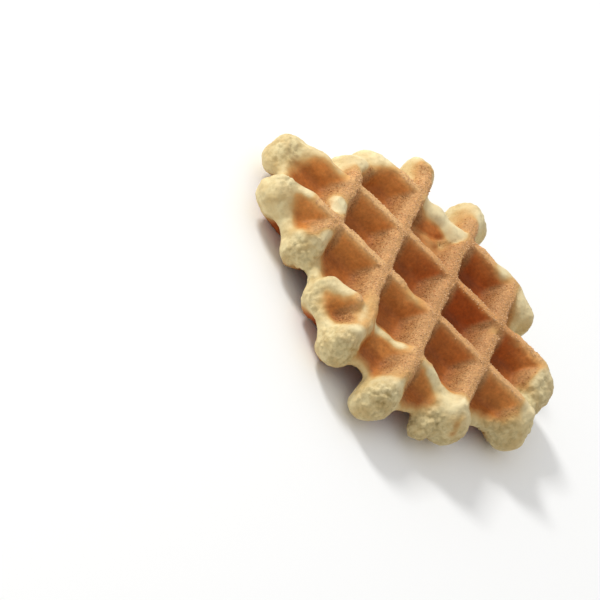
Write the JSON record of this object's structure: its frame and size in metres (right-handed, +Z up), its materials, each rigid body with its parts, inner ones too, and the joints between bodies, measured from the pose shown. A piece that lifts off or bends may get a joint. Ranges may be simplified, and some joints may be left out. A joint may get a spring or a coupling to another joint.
{
  "type": "waffle",
  "caption": "Thick baked sugar waffle with a square grid of raised ridges, deep pockets on both faces and an uneven edge of round dough lumps.",
  "frame": {"origin": "middle of the footprint, on the surface that the waffle lies on", "axes": "+Z up out of the face that shows; +X along the ridges that run the waffle's long way; +Y along the ridges that cross them"},
  "size_m": [0.1152, 0.1064, 0.018],
  "materials": {
    "crust": "matt golden brown baked dough, darker in the pockets and pale at the free edges"
  },
  "bodies": {
    "root": {"waffle": "crust"}
  },
  "joints": []
}
